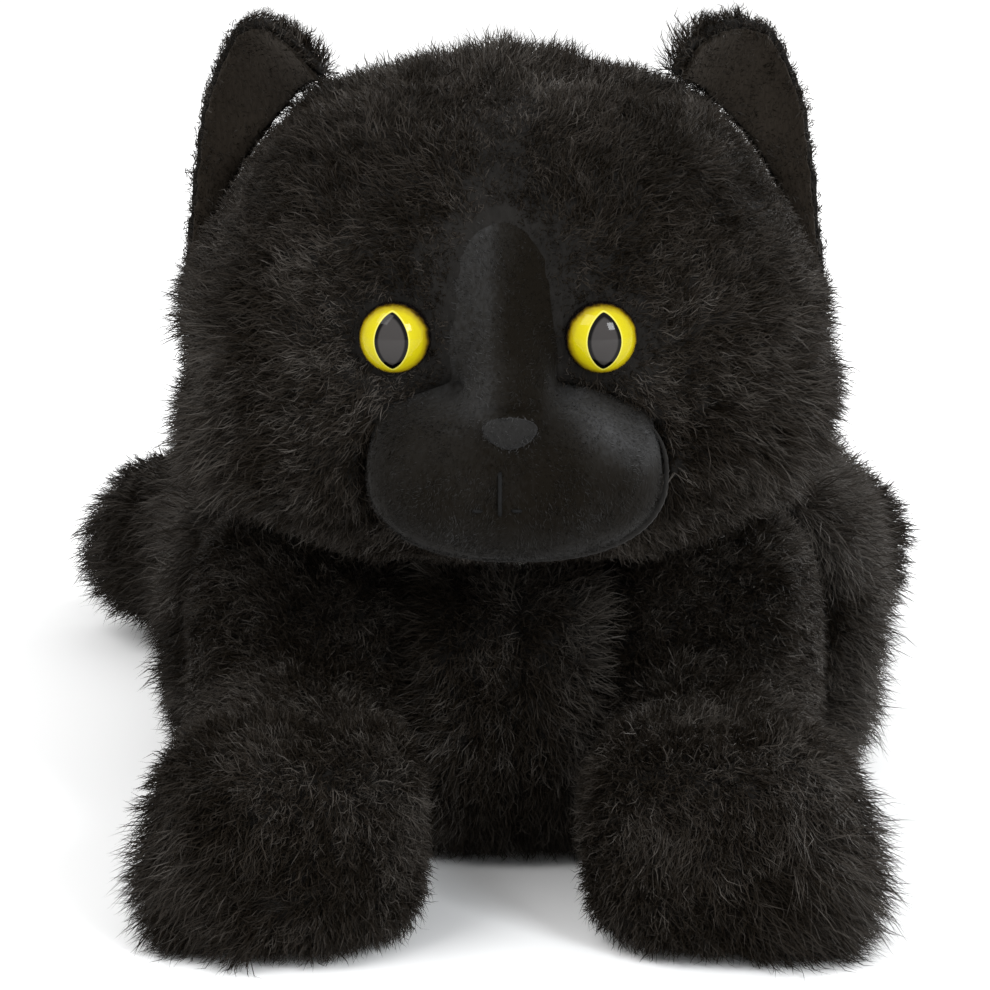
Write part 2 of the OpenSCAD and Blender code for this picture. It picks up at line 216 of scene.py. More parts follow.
def iris_material(name, radius):
    """A glossy yellow iris with a dark rim and an upright almond pupil, whose grey centre is a
    painted reflection.
    """
    mat, shader = material(name, (0.55, 0.47, 0.01), 0.06, 0.16)
    g = Graph(mat)
    split = g.node("ShaderNodeSeparateXYZ")
    g.link(g.place(), split.inputs[0])
    across = g.maths("DIVIDE", split.outputs["X"], radius)
    upward = g.maths("DIVIDE", split.outputs["Y"], radius)
    squared = g.maths("ADD", g.maths("MULTIPLY", across, across),
                      g.maths("MULTIPLY", upward, upward))
    reach = g.maths("SQRT", squared)
    streaks = g.maths("MULTIPLY", g.noise(700, 2), 0.08)
    iris = g.ramp(g.maths("SUBTRACT", g.maths("ADD", reach, streaks), 0.04), [
        (0.50, (0.44, 0.385, 0.005)),
        (0.80, (0.41, 0.345, 0.004)),
        (0.89, (0.27, 0.20, 0.004)),
        (0.945, (0.06, 0.035, 0.003)),
        (0.975, (0.003, 0.002, 0.002)),
    ])
    pupil_half = (0.45, 0.76)
    height = g.maths("DIVIDE", upward, pupil_half[1])
    sideways = g.maths("ABSOLUTE", g.maths("DIVIDE", across, pupil_half[0]))
    almond = g.maths("ADD", g.maths("POWER", sideways, 1.45),
                     g.maths("POWER", g.maths("ABSOLUTE", height), 1.9))
    scaled = g.maths("MULTIPLY", almond, 0.5)
    # The pupil's grey centre inside its black outline is a painted reflection, then comes a pale
    # yellow ring round the pupil
    pupil = g.ramp(scaled, [
        (0.34, (0.034, 0.031, 0.030, 1)),
        (0.41, (0.0006, 0.0005, 0.0004, 1)),
        (0.52, (0.0006, 0.0005, 0.0004, 1)),
        (0.545, (0.54, 0.49, 0.08, 1)),
        (0.58, (0.54, 0.49, 0.08, 1)),
        (0.61, (0.44, 0.385, 0.01, 0)),
    ])
    mix = g.node("ShaderNodeMix", data_type="RGBA")
    under, over = (socket for socket in mix.inputs if socket.type == "RGBA")
    mixed = next(socket for socket in mix.outputs if socket.type == "RGBA")
    g.link(pupil.outputs["Alpha"], mix.inputs[0])
    g.link(iris.outputs["Color"], under)
    g.link(pupil.outputs["Color"], over)
    g.link(mixed, shader.inputs["Base Color"])
    return mat


add_camera()
add_stage()

BACKING = fabric("pile_backing", (0.004, 0.0035, 0.003), (0.010, 0.009, 0.008), 900, 0.5,
                 specular=0.1)
# Its colours run from deep to pale, and painted light and shade stored on the mesh moves the
# velvet along them
FACE_VELVET = fabric("face_velvet", (0.005, 0.004, 0.003), (0.02, 0.02, 0.02), 1400, 0.3,
                     specular=0.06, Sheen_Weight=0.05, Sheen_Roughness=0.4, drift="painted_nap_light",
                     stops=[(0.22, (0.0032, 0.0022, 0.0010)), (0.50, (0.0080, 0.0070, 0.0058)),
                            (0.75, (0.0190, 0.0185, 0.0180)), (1.0, (0.0400, 0.0400, 0.0410))])
WELT = fabric("muzzle_welt", (0.008, 0.0073, 0.0065), (0.016, 0.015, 0.014), 1400, 0.3,
              specular=0.08, Sheen_Weight=0.08)
EAR_VELVET = fabric("ear_velvet", (0.0065, 0.0046, 0.0028), (0.013, 0.010, 0.0072), 1200, 0.35,
                    specular=0.06, Sheen_Weight=0.08, Sheen_Tint=(0.9, 0.8, 0.7, 1))
NOSE_VELVET = fabric("nose_velvet", (0.008, 0.0075, 0.007), (0.014, 0.0135, 0.013), 1600, 0.2,
                     specular=0.1, Sheen_Weight=0.06, Sheen_Tint=(0.85, 0.88, 0.95, 1))
WADDING = fabric("wadding", (0.72, 0.70, 0.66), (0.88, 0.86, 0.82), 260, 1.5, specular=0.2)
THREAD = fabric("thread", (0.003, 0.003, 0.003), (0.008, 0.008, 0.008), 2500, 0.1, specular=0.1)
WASHER = fabric("washer_plastic", (0.74, 0.74, 0.72), (0.82, 0.82, 0.80), 400, 0.05,
                roughness=0.4, specular=0.4)


def tones(name, colours, roughness):
    """Plain materials for pile, from the deepest tone to the palest."""
    return {f"tone{k}": material(f"{name}_{k}", colour, roughness, 0.06 + 0.03 * k)[0]
            for k, colour in enumerate(colours, start=1)}


FUR_TONES = tones("fur", ((0.0056, 0.0038, 0.0020), (0.0110, 0.0080, 0.0052),
                          (0.0200, 0.0158, 0.0120), (0.0400, 0.0345, 0.0290)), 0.55)
VELVET_TONES = tones("nap", ((0.0036, 0.0027, 0.0015), (0.0062, 0.0052, 0.0040),
                             (0.0105, 0.0097, 0.0088), (0.0180, 0.0175, 0.0170),
                             (0.0300, 0.0298, 0.0300)), 0.6)
EAR_TONES = tones("ear_nap", ((0.0050, 0.0035, 0.0018), (0.0085, 0.0063, 0.0038),
                              (0.0135, 0.0108, 0.0080), (0.0210, 0.0178, 0.0145)), 0.6)


# --- Soft forms --------------------------------------------------------------

def bake_modifiers(obj):
    graph = bpy.context.evaluated_depsgraph_get()
    graph.update()
    mesh = bpy.data.meshes.new_from_object(obj.evaluated_get(graph))
    obj.modifiers.clear()
    obj.data = mesh


def get_points(mesh):
    co = np.empty(len(mesh.vertices) * 3)
    mesh.vertices.foreach_get("co", co)
    return co.reshape(-1, 3)


def get_normals(mesh):
    normals = np.empty(len(mesh.vertices) * 3, np.float32)
    mesh.vertex_normals.foreach_get("vector", normals)
    return normals.reshape(-1, 3).astype(float)


def set_points(mesh, co):
    mesh.vertices.foreach_set("co", co.ravel())
    mesh.update()


def remeshed(name, nodes, voxel, extra=None):
    """One closed mesh around CAD nodes, and around an extra mesh if there is one."""
    bm = bmesh.new()
    if extra is not None:
        bm.from_mesh(extra)
    for node in nodes:
        bm.from_mesh(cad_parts[node].data)
    mesh = bpy.data.meshes.new(name)
    bm.to_mesh(mesh)
    bm.free()
    obj = add_object(name, mesh)
    modifier = obj.modifiers.new("remesh", "REMESH")
    modifier.mode = "VOXEL"
    modifier.voxel_size = voxel
    modifier.use_smooth_shade = True
    bake_modifiers(obj)
    return obj


def swell(obj, cap):
    """Blows the form up like a stuffed cushion, no point further than cap."""
    inset = 0.4 * cap
    start = get_points(obj.data) - inset * get_normals(obj.data)
    set_points(obj.data, start)
    cloth = obj.modifiers.new("cloth", "CLOTH")
    cloth.settings.use_pressure = True
    cloth.settings.uniform_pressure_force = 4
    cloth.settings.effector_weights.gravity = 0
    cloth.settings.quality = 4
    frames = 20
    for number in range(1, frames + 1):
        bpy.context.scene.frame_set(number)
    graph = bpy.context.evaluated_depsgraph_get()
    swollen = get_points(obj.evaluated_get(graph).data)
    obj.modifiers.clear()
    bpy.context.scene.frame_set(1)
    move = swollen - start
    reach = np.linalg.norm(move, axis=1, keepdims=True)
    set_points(obj.data, start + move * np.minimum(1, cap / np.maximum(reach, 1e-9)))


def smooth(obj, times):
    modifier = obj.modifiers.new("smooth", "SMOOTH")
    modifier.factor = 0.5
    modifier.iterations = times
    subdivision = obj.modifiers.new("subdivision", "SUBSURF")
    subdivision.levels = subdivision.render_levels = 1
    bake_modifiers(obj)
    for polygon in obj.data.polygons:
        polygon.use_smooth = True


def seam(obj, distance, depth, width):
    """Draws the surface in along a seam; distance gives each point's way from it."""
    co = get_points(obj.data)
    away = distance(co)
    pull = depth * np.exp(-(away / width) ** 2)
    set_points(obj.data, co - pull[:, None] * get_normals(obj.data))


def wad(name, skin, node, body, inset, seed):
    """The stuffing inside a skin: the same form, smaller and lumpy."""
    mesh = skin.data.copy()
    obj = add_object(name, mesh)
    co = get_points(mesh)
    lumps = 0.8 * MM * waves(co, 0.018, seed) + 0.4 * MM * waves(co, 0.007, seed + 1)
    co = co - (inset - lumps)[:, None] * get_normals(mesh)
    tree = tree_of(skin)
    least = 0.9 * MM
    for k, point in enumerate(co):
        place, normal, face, away = tree.find_nearest(Vector(point))
        if (Vector(point) - place).dot(normal) > -least:
            co[k] = place - least * normal
    co[:, 2] = np.maximum(co[:, 2], WAD_FLOOR)
    set_points(mesh, co)
    cover(obj, WADDING)
    finish_piece(obj, body, [node])
    return obj


def finish_piece(obj, body, nodes=()):
    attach(obj, body)
    if nodes:
        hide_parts(*nodes)


def soft_part(name, body, panels, stuffing, voxel, cap, seed, seams=()):
    """A stuffed fabric form in place of its panels, with its wad inside.

    voxel, cap and the depth and width of each seam are in millimetres.
    """
    wad_inset = 2.6 * MM
    obj = remeshed(name, [*panels, stuffing], voxel * MM)
    swell(obj, cap * MM)
    smooth(obj, 3)
    for distance, depth, width in seams:
        seam(obj, distance, depth * MM, width * MM)
    co = get_points(obj.data)
    co[:, 2] = np.maximum(co[:, 2], SKIN_FLOOR)
    set_points(obj.data, co)
    cover(obj, BACKING)
    wad(name.replace("fabric", "wad"), obj, stuffing, body, wad_inset, seed)
    finish_piece(obj, body, panels)
    return obj


# --- Pile --------------------------------------------------------------------

def waves(co, period, seed):
    """Smooth random values from about -1 to 1 over space."""
    rng = np.random.default_rng(seed)
    total = np.zeros(len(co))
    count = 7
    for _ in range(count):
        way = rng.normal(size=3)
        way *= rng.uniform(0.6, 1.5) * 2 * math.pi / period / np.linalg.norm(way)
        total += np.sin(co @ way + rng.uniform(0, 2 * math.pi))
    return total / math.sqrt(count) * 1.1


def unit(v):
    return v / np.maximum(np.linalg.norm(v, axis=-1, keepdims=True), 1e-12)


def triangles(mesh):
    mesh.calc_loop_triangles()
    index = np.empty(len(mesh.loop_triangles) * 3, np.int32)
    mesh.loop_triangles.foreach_get("vertices", index)
    return index.reshape(-1, 3)


def scatter(mesh, per_mm2, rng, keep):
    """Places and normals spread evenly over a mesh, thinned by keep."""
    co, normals, tris = get_points(mesh), get_normals(mesh), triangles(mesh)
    a, b, c = (co[tris[:, k]] for k in range(3))
    area = np.linalg.norm(np.cross(b - a, c - a), axis=1) / 2
    weight = area * keep((a + b + c) / 3, unit(normals[tris].mean(1)))
    count = int(weight.sum() * 1e6 * per_mm2)
    edges = np.cumsum(weight) / weight.sum()
    even = (np.arange(count) + rng.uniform(size=count)) / count
    pick = np.minimum(np.searchsorted(edges, even), len(tris) - 1)
    u, v = rng.uniform(size=(2, count))
    flip = u + v > 1
    u[flip], v[flip] = 1 - u[flip], 1 - v[flip]
    share = np.stack([1 - u - v, u, v], axis=1)[:, :, None]
    return (co[tris[pick]] * share).sum(1), unit((normals[tris[pick]] * share).sum(1))


def ribbon_mesh(name, spines, side, width, mat):
    """Strands as tapering ribbons; spines is (strands, points, 3)."""
    count, steps = spines.shape[:2]
    share = np.linspace(0, 1, steps)[None, :, None]
    half = 0.5 * width[:, None, None] * (1 - 0.35 * share) * side[:, None, :]
    left = (spines - half)[:, :-1]
    right = (spines + half)[:, :-1]
    pairs = np.stack([left, right], axis=2).reshape(count, -1, 3)
    verts = np.concatenate([pairs, spines[:, -1:]], axis=1)
    per = verts.shape[1]
    quads = [[2 * k, 2 * k + 1, 2 * k + 3, 2 * k + 2] for k in range(steps - 2)]
    corner = sum(quads, []) + [per - 3, per - 2, per - 1]
    starts = [4 * k for k in range(steps - 1)]
    loops = (np.arange(count)[:, None] * per + np.array(corner)).ravel()
    first = (np.arange(count)[:, None] * len(corner) + np.array(starts)).ravel()
    mesh = bpy.data.meshes.new(name)
    mesh.vertices.add(count * per)
    mesh.vertices.foreach_set("co", verts.astype(np.float32).ravel())
    mesh.loops.add(len(loops))
    mesh.loops.foreach_set("vertex_index", loops.astype(np.int32))
    mesh.polygons.add(len(first))
    mesh.polygons.foreach_set("loop_start", first.astype(np.int32))
    mesh.update(calc_edges=True)
    mesh.polygons.foreach_set("use_smooth", np.ones(len(first), bool))
    mesh.materials.append(mat)
    return add_object(name, mesh)


def reach_of_others(co, trees, most):
    """How far each point is from the nearest other part."""
    found = np.full(len(co), most)
    for tree in trees:
        for k, point in enumerate(co):
            hit = tree.find_nearest(Vector(point), most)
            if hit[0] is not None:
                found[k] = min(found[k], hit[3])
    return found


STRANDS_PER_PIECE = 39000
ROOT_DEPTH = 0.4 * MM
STRAY_SHARE = 0.05
UP = np.array([0.0, 0.0, 1.0])


def grow(name, body, skin, comb, length, seed, per_mm2=4.0, width=0.23, lift=0.5, tuft=11,
         tuft_r=1.4, gather=0.35, curl=0.9, shades=(0.22, 0.43, 0.27, 0.08), light=None,
         keep=None, others=(), tones=FUR_TONES, slot="pile_fabric", steps=4, mixing=1.0):
    """Grows pile on a skin: tufts of ribbons combed along comb, lengths in millimetres.

    lift is how upright the pile stands, from 0 to 1, gather how far a tuft's
    tips come together, curl the sideways wave, shades the shares of the tones
    and mixing how far they mingle. light is painted light and shade, added to
    each tuft's tone to make it paler or darker.
    Values may be functions of the roots and their normals.
    """
    rng = np.random.default_rng(seed)
    keep = keep or (lambda co, n: np.ones(len(co)))

    def value(v):
        return v(co, n) if callable(v) else np.full(len(co), float(v))

    co, n = scatter(skin.data, per_mm2 / tuft, rng, keep)
    if not len(co):
        return
    full = value(length) * MM
    if others:
        room = reach_of_others(co, others, float(full.max()))
        full = np.minimum(full, np.maximum(1.8 * MM, 1.5 * room))
    way = comb(co, n)
    way = unit(way - (way * n).sum(1, keepdims=True) * n)
    across = np.cross(n, way)
    swirl = 0.5 * waves(co, 0.030, seed + 1) + 0.35 * waves(co, 0.011, seed + 2)
    swirl += rng.normal(0, 0.28, len(co))
    way = unit(way * np.cos(swirl)[:, None] + across * np.sin(swirl)[:, None])
    rise = np.clip(value(lift) + 0.12 * waves(co, 0.016, seed + 3) + rng.normal(0, 0.09, len(co)),
                   0.08, 1)
    full = full * np.clip(1 + 0.12 * waves(co, 0.013, seed + 4) + rng.normal(0, 0.10, len(co)),
                          0.6, 1.35)
    shade = 0.5 + mixing * (rng.uniform(-0.5, 0.5, len(co)) + 0.16 * waves(co, 0.022, seed + 5))
    # Painted light and shade: light moves each tuft to a paler or darker tone
    if light is not None:
        shade = shade + light(co, n)
    edges = np.cumsum(shades)[:-1]
    tone = np.searchsorted(edges, np.clip(shade, 0, 0.999))

    def each(v):
        return np.repeat(v, tuft, axis=0)

    co, n, way, across = each(co), each(n), each(way), each(np.cross(n, way))
    full, rise, tone = each(full), each(rise), each(tone)
    count = len(co)
    angle = rng.uniform(0, 2 * math.pi, count)
    spread = tuft_r * MM * np.sqrt(rng.uniform(size=count)) * 1.5
    offset = (way * np.cos(angle)[:, None] + across * np.sin(angle)[:, None]) * spread[:, None]
    full = full * rng.uniform(0.72, 1.08, count)
    stray = rng.uniform(size=count) < STRAY_SHARE
    full = np.where(stray, full * 1.15, full)
    tip = unit(way * (1 - rise)[:, None] + n * rise[:, None]
               + rng.normal(0, 1, (count, 3)) * np.where(stray, 0.4, 0.2)[:, None])
    wave_way = unit(np.cross(tip, rng.normal(size=(count, 3))))
    phase = rng.uniform(0, 2 * math.pi, count)
    spines = []
    for s in np.linspace(0, 1, steps):
        bend = tip * s + n * (0.45 * s * (1 - s))
        wave = curl * MM * s * np.sin(phase + 6.5 * s)
        spines.append(co - n * ROOT_DEPTH + offset * (1 - gather * s) + bend * full[:, None]
                      + wave_way * wave[:, None] - UP * (0.10 * s * s * full)[:, None])
    spines = np.stack(spines, axis=1)
    spines[:, :, 2] = np.maximum(spines[:, :, 2], PILE_FLOOR)
    facing = n + rng.normal(0, 0.5, (count, 3))
    side = unit(np.cross(tip, facing))
    thick = width * MM * rng.uniform(0.7, 1.25, count)
    for index, tone_name in enumerate(tones):
        chosen = np.flatnonzero(tone == index)
        for part, start in enumerate(range(0, len(chosen), STRANDS_PER_PIECE)):
            rows = chosen[start:start + STRANDS_PER_PIECE]
            piece = ribbon_mesh(f"{name}_{tone_name}_{part + 1}", spines[rows], side[rows],
                                thick[rows], tones[tone_name])
            finish_piece(piece, body)


def tree_of(*objects):
    bm = bmesh.new()
    for obj in objects:
        bm.from_mesh(obj.data)
    tree = BVHTree.FromBMesh(bm)
    bm.free()
    return tree


# --- Body parts --------------------------------------------------------------

def middle(node):
    low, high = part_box(node)
    return (low + high) / 2


BACK_X = middle("closing_stitches").x
HEAD = middle("head_stuffing")
MUZZLE = middle("muzzle_panel")
NOSE = middle("nose")


def plane_x(x):
    return lambda co: co[:, 0] - x


torso = soft_part("torso_fabric", "torso", ["back_panel_left", "back_panel_right", "belly_panel"],
                  "torso_stuffing", voxel=5, cap=3, seed=11,
                  seams=[(plane_x(BACK_X), 1.2, 2.5)])
head = soft_part("head_fabric", "head",
                 ["face_panel_left", "face_panel_right", "head_back_panel"],
                 "head_stuffing", voxel=4, cap=2.5, seed=12,
                 seams=[(lambda co: co[:, 1] - (HEAD.y + 11 * MM), 1.0, 2.2)])
forelegs = {side: soft_part(f"foreleg_fabric_{side}", f"foreleg_{side}",
                            [f"foreleg_outer_panel_{side}", f"foreleg_inner_panel_{side}"],
                            f"foreleg_stuffing_{side}", voxel=4.5, cap=2, seed=13 + sign,
                            seams=[(plane_x(middle(f"foreleg_stuffing_{side}").x), 0.8, 2.2)])
            for side, sign in SIDES.items()}
hindlegs = {side: soft_part(f"hindleg_fabric_{side}", f"hindleg_{side}",
                            [f"hindleg_upper_panel_{side}", f"hindleg_lower_panel_{side}"],
                            f"hindleg_stuffing_{side}", voxel=4, cap=2, seed=16 + sign)
            for side, sign in SIDES.items()}
tail = soft_part("tail_fabric", "tail", ["tail_upper_panel", "tail_lower_panel"],
                 "tail_stuffing", voxel=3, cap=1.5, seed=19)
head_tree = tree_of(head)


def build_neck():
    obj = remeshed("neck_wad", ["neck_stuffing"], 3 * MM)
    smooth(obj, 2)
    co = get_points(obj.data)
    lumps = 0.5 * MM * waves(co, 0.012, 21)
    set_points(obj.data, co + lumps[:, None] * get_normals(obj.data))
    cover(obj, WADDING)
    finish_piece(obj, "neck", ["neck_stuffing"])


build_neck()


# --- Face --------------------------------------------------------------------

def front_of(tree, x, z):
    """Where a line from the front first meets a tree, and the normal there."""
    hit = tree.ray_cast(Vector((x, -0.5, z)), Vector((0, 1, 0)))
    return hit[0], hit[1]


def muzzle_half():
    low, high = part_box("muzzle_panel")
    return (high.x - low.x) / 2, (high.z - low.z) / 2


MUZZLE_HALF_X, MUZZLE_HALF_Z = muzzle_half()
BRIDGE_X = middle("bridge_panel").x
BRIDGE_TOP = HEAD.z + 29 * MM
BRIDGE_FOOT = MUZZLE.z + 6 * MM
EYE_FOOT = middle("eye_left").z - 8 * MM


def velvet_reach(z):
    """Middle and half width of the short pile at a height.

    It is a strip that spreads out below the eyes.
    """
    round_end = 18 * MM
    narrow, wide = 12.5 * MM, MUZZLE_HALF_X - 1.5 * MM
    spread = np.clip((EYE_FOOT + 1 * MM - z) / (10 * MM), 0, 1)
    spread = spread * spread * (3 - 2 * spread)
    tip = np.clip((BRIDGE_TOP - z) / round_end, 0, 1)
    half = (narrow + (wide - narrow) * spread) * np.sqrt(1 - (1 - tip) ** 2)
    return BRIDGE_X + (MUZZLE.x - BRIDGE_X) * spread, half


def add_strip(bm, tree):
    """A thin pad over the face, between the brow and the muzzle."""
    columns, rows = 40, 60
    front_gap, back_gap = 0.35 * MM, 3 * MM
    grids = []
    for gap in (-front_gap, back_gap):
        grid = []
        for i in range(rows + 1):
            z = BRIDGE_TOP - 0.4 * MM + (BRIDGE_FOOT - BRIDGE_TOP) * i / rows
            centre, half = velvet_reach(z)
            line = []
            for j in range(columns + 1):
                place, normal = front_of(tree, centre + half * (2 * j / columns - 1), z)
                line.append(bm.verts.new(place + Vector((0, gap, 0))))
            grid.append(line)
        grids.append(grid)
    front, back = grids
    for i in range(rows):
        for j in range(columns):
            bm.faces.new([front[i][j], front[i + 1][j], front[i + 1][j + 1], front[i][j + 1]])
            bm.faces.new([back[i][j + 1], back[i + 1][j + 1], back[i + 1][j], back[i][j]])
        for j, step in ((0, 1), (columns, -1)):
            bm.faces.new([front[i][j], back[i][j], back[i + 1][j], front[i + 1][j]][::step])
    for i, step in ((0, -1), (rows, 1)):
        for j in range(columns):
            bm.faces.new([front[i][j], back[i][j], back[i][j + 1], front[i][j + 1]][::step])


def add_lump(bm, centre, radii):
    made = bmesh.ops.create_uvsphere(bm, u_segments=24, v_segments=16, radius=1)
    for vert in made["verts"]:
        vert.co = centre + Vector(c * r for c, r in zip(vert.co, radii))


def near_line(co, start, end, width):
    """A soft 0 to 1 share of each point near a line, as seen from the front."""
    flat = co[:, [0, 2]]
    a, b = np.array([start.x, start.z]), np.array([end.x, end.z])
    along = np.clip(((flat - a) @ (b - a)) / ((b - a) @ (b - a)), 0, 1)
    away = np.linalg.norm(flat - a - along[:, None] * (b - a), axis=1)
    return np.exp(-(away / width) ** 2)


def shape_muzzle(co):
    """Full cheeks, a groove under the nose, a fold above it and one up to each eye."""
    out = co.copy()
    beside = (co[:, 0] - NOSE.x) / (2.2 * MM)
    below = np.clip((NOSE.z - co[:, 2]) / (15 * MM), 0, 1)
    front = np.clip((MUZZLE.y - co[:, 1]) / (8 * MM), 0, 1)
    groove = np.exp(-beside ** 2) * np.sin(below * math.pi) * front
    cheek = np.exp(-((np.abs(co[:, 0] - NOSE.x) - 14 * MM) / (8 * MM)) ** 2)
    cheek *= np.exp(-((co[:, 2] - MUZZLE.z + 2 * MM) / (9 * MM)) ** 2)
    fold = near_line(co, NOSE + Vector((-5 * MM, 0, 3.6 * MM)),
                     NOSE + Vector((5 * MM, 0, 3.6 * MM)), 1.3 * MM)
    groove_depth, cheek_rise, fold_depth = 1.2 * MM, 1.5 * MM, 1.5 * MM
    out[:, 1] += groove_depth * groove - cheek_rise * cheek * front + fold_depth * fold
    for side, (sign, depth) in {"left": (-1, 1.2), "right": (1, 2.5)}.items():
        eye = middle(f"eye_{side}")
        corner = Vector((eye.x - sign * 6.5 * MM, 0, eye.z - 9 * MM))
        foot = NOSE + Vector((sign * 8 * MM, 0, -1 * MM))
        out[:, 1] += depth * MM * near_line(co, foot, corner, 3.2 * MM)
        crest = near_line(co, corner + Vector((sign * 6 * MM, 0, -2 * MM)),
                          Vector((MUZZLE.x + sign * 25 * MM, 0, MUZZLE.z + 7 * MM)), 5 * MM)
        out[:, 1] -= (0.7 * depth) * MM * crest * (co[:, 1] < MUZZLE.y + 6 * MM)
    return out


def painted_velvet_light(co, n):
    """Painted light and shade on the short pile.

    Paler left of the bridge and darker right of it, a painted highlight along the
    crest above on the right, and a painted sheen underneath.
    """
    base, left_painted_light, right_painted_shade, crest_painted_highlight, rim_painted_sheen = -0.20, 0.36, 0.11, 0.58, 0.26
    bridge = np.clip((co[:, 2] - NOSE.z + 2 * MM) / (6 * MM), 0, 1)
    # Painted light left of the bridge, painted shade right of it
    left = np.clip((BRIDGE_X + 1 * MM - co[:, 0]) / (4 * MM), -1, 1)
    left = np.where(left > 0, left_painted_light * left, right_painted_shade * left) * bridge
    # Painted highlight along the crest above on the right
    crest = near_line(co, Vector((MUZZLE.x + 12 * MM, 0, MUZZLE.z + 17 * MM)),
                      Vector((MUZZLE.x + 28 * MM, 0, MUZZLE.z + 6 * MM)), 5 * MM)
    # Painted sheen where the surface looks down
    rim = np.clip((-n[:, 2] - 0.35) / 0.6, 0, 1)
    return base + left + crest_painted_highlight * crest + rim_painted_sheen * rim


def build_muzzle():
    """Muzzle and nose bridge: cushion, strip and ridge melted into one velvet form."""
    bm = bmesh.new()
    add_strip(bm, head_tree)
    brow_rise = 16 * MM
    steps = 9
    for k in range(steps):
        share = k / (steps - 1)
        z = EYE_FOOT + brow_rise + (NOSE.z + 1 * MM - EYE_FOOT - brow_rise) * share
        x = BRIDGE_X + (NOSE.x - BRIDGE_X) * share
        brow, normal = front_of(head_tree, x, EYE_FOOT + brow_rise)
        front_y = brow.y - 1.4 * MM + (NOSE.y + 1.0 * MM - brow.y) * share ** 1.25
        add_lump(bm, Vector((x, front_y + 7 * MM, z)), (9 * MM, 7 * MM, 7 * MM))
    extra = bpy.data.meshes.new("face_extra")
    bm.to_mesh(extra)
    bm.free()
    obj = remeshed("face_velvet", ["muzzle_panel", "muzzle_stuffing"], 1.7 * MM, extra)
    smooth(obj, 14)
    set_points(obj.data, shape_muzzle(get_points(obj.data)))
    cover(obj, FACE_VELVET)
    # Painted light and shade, stored on the mesh, lightens and darkens the velvet's colour
    painted_light_values = obj.data.attributes.new("painted_nap_light", "FLOAT", "POINT")
    painted_light_values.data.foreach_set("value", painted_velvet_light(get_points(obj.data), get_normals(obj.data)))
    finish_piece(obj, "head", ["muzzle_panel", "bridge_panel"])
    core = remeshed("muzzle_wad", ["muzzle_stuffing"], 2 * MM)
    smooth(core, 2)
    co = get_points(core.data)
    lumps = 0.5 * MM * waves(co, 0.012, 31) - 0.8 * MM
    set_points(core.data, co + lumps[:, None] * get_normals(core.data))
    cover(core, WADDING)
    finish_piece(core, "head", ["muzzle_stuffing"])
    return obj


muzzle = build_muzzle()
face_tree = tree_of(head, muzzle)


def mesh_object(name, bm, mat):
    """A smooth object from a finished bmesh, with its faces turned outward."""
    bmesh.ops.recalc_face_normals(bm, faces=bm.faces)
    for face in bm.faces:
        face.smooth = True
    mesh = bpy.data.meshes.new(name)
    bm.to_mesh(mesh)
    bm.free()
    mesh.materials.append(mat)
    return add_object(name, mesh)


def close_dome(bm, tip, rings):
    """Faces from a tip over rings of points, and one across the last ring."""
    sides = len(rings[0])
    for j in range(sides):
        after = (j + 1) % sides
        bm.faces.new([tip, rings[0][j], rings[0][after]])
        for a, b in zip(rings, rings[1:]):
            bm.faces.new([a[j], b[j], b[after], a[after]])
    bm.faces.new(rings[-1])


def tube(name, points, radius, mat, sides=8):
    """A round thread through points; radius may differ from point to point."""
    bm = bmesh.new()
    rings = []
    count = len(points)
    radii = radius if hasattr(radius, "__len__") else [radius] * count
    for k, point in enumerate(points):
        before = points[max(k - 1, 0)]
        after = points[min(k + 1, count - 1)]
        along = (after - before).normalized()
        first = along.cross(Vector((0.31, 0.17, 0.93))).normalized()
        second = along.cross(first)
        ring = []
        for j in range(sides):
            turn = 2 * math.pi * j / sides
            ring.append(bm.verts.new(point + radii[k] * (math.cos(turn) * first
                                                         + math.sin(turn) * second)))
        rings.append(ring)
    for a, b in zip(rings, rings[1:]):
        for j in range(sides):
            bm.faces.new([a[j], a[(j + 1) % sides], b[(j + 1) % sides], b[j]])
    bm.faces.new(list(reversed(rings[0])))
    bm.faces.new(rings[-1])
    return mesh_object(name, bm, mat)


def build_muzzle_seam():
    """The welt where the muzzle is sewn to the face, round its foot and right side."""
    half = Vector((MUZZLE_HALF_X + 0.5 * MM, 0, MUZZLE_HALF_Z + 0.5 * MM))
    thickest = 0.75 * MM
    count = 110
    start, end = -135, 30
    points, radii = [], []
    for k in range(count):
        share = k / (count - 1)
        turn = math.radians(start + (end - start) * share)
        x = MUZZLE.x + half.x * math.copysign(abs(math.cos(turn)) ** 0.85, math.cos(turn))
        z = MUZZLE.z + half.z * math.copysign(abs(math.sin(turn)) ** 0.85, math.sin(turn))
        place, normal = front_of(head_tree, x, z)
        if place is None:
            continue
        points.append(Vector((x, min(place.y, MUZZLE.y + 3 * MM) - 0.5 * MM, z)))
        radii.append((0.25 + 0.75 * math.sin(math.pi * share)) * thickest
                     * (1 + 0.10 * math.sin(k * 2.1)))
    obj = tube("muzzle_seam", points, radii, WELT, 10)
    finish_piece(obj, "head")


build_muzzle_seam()


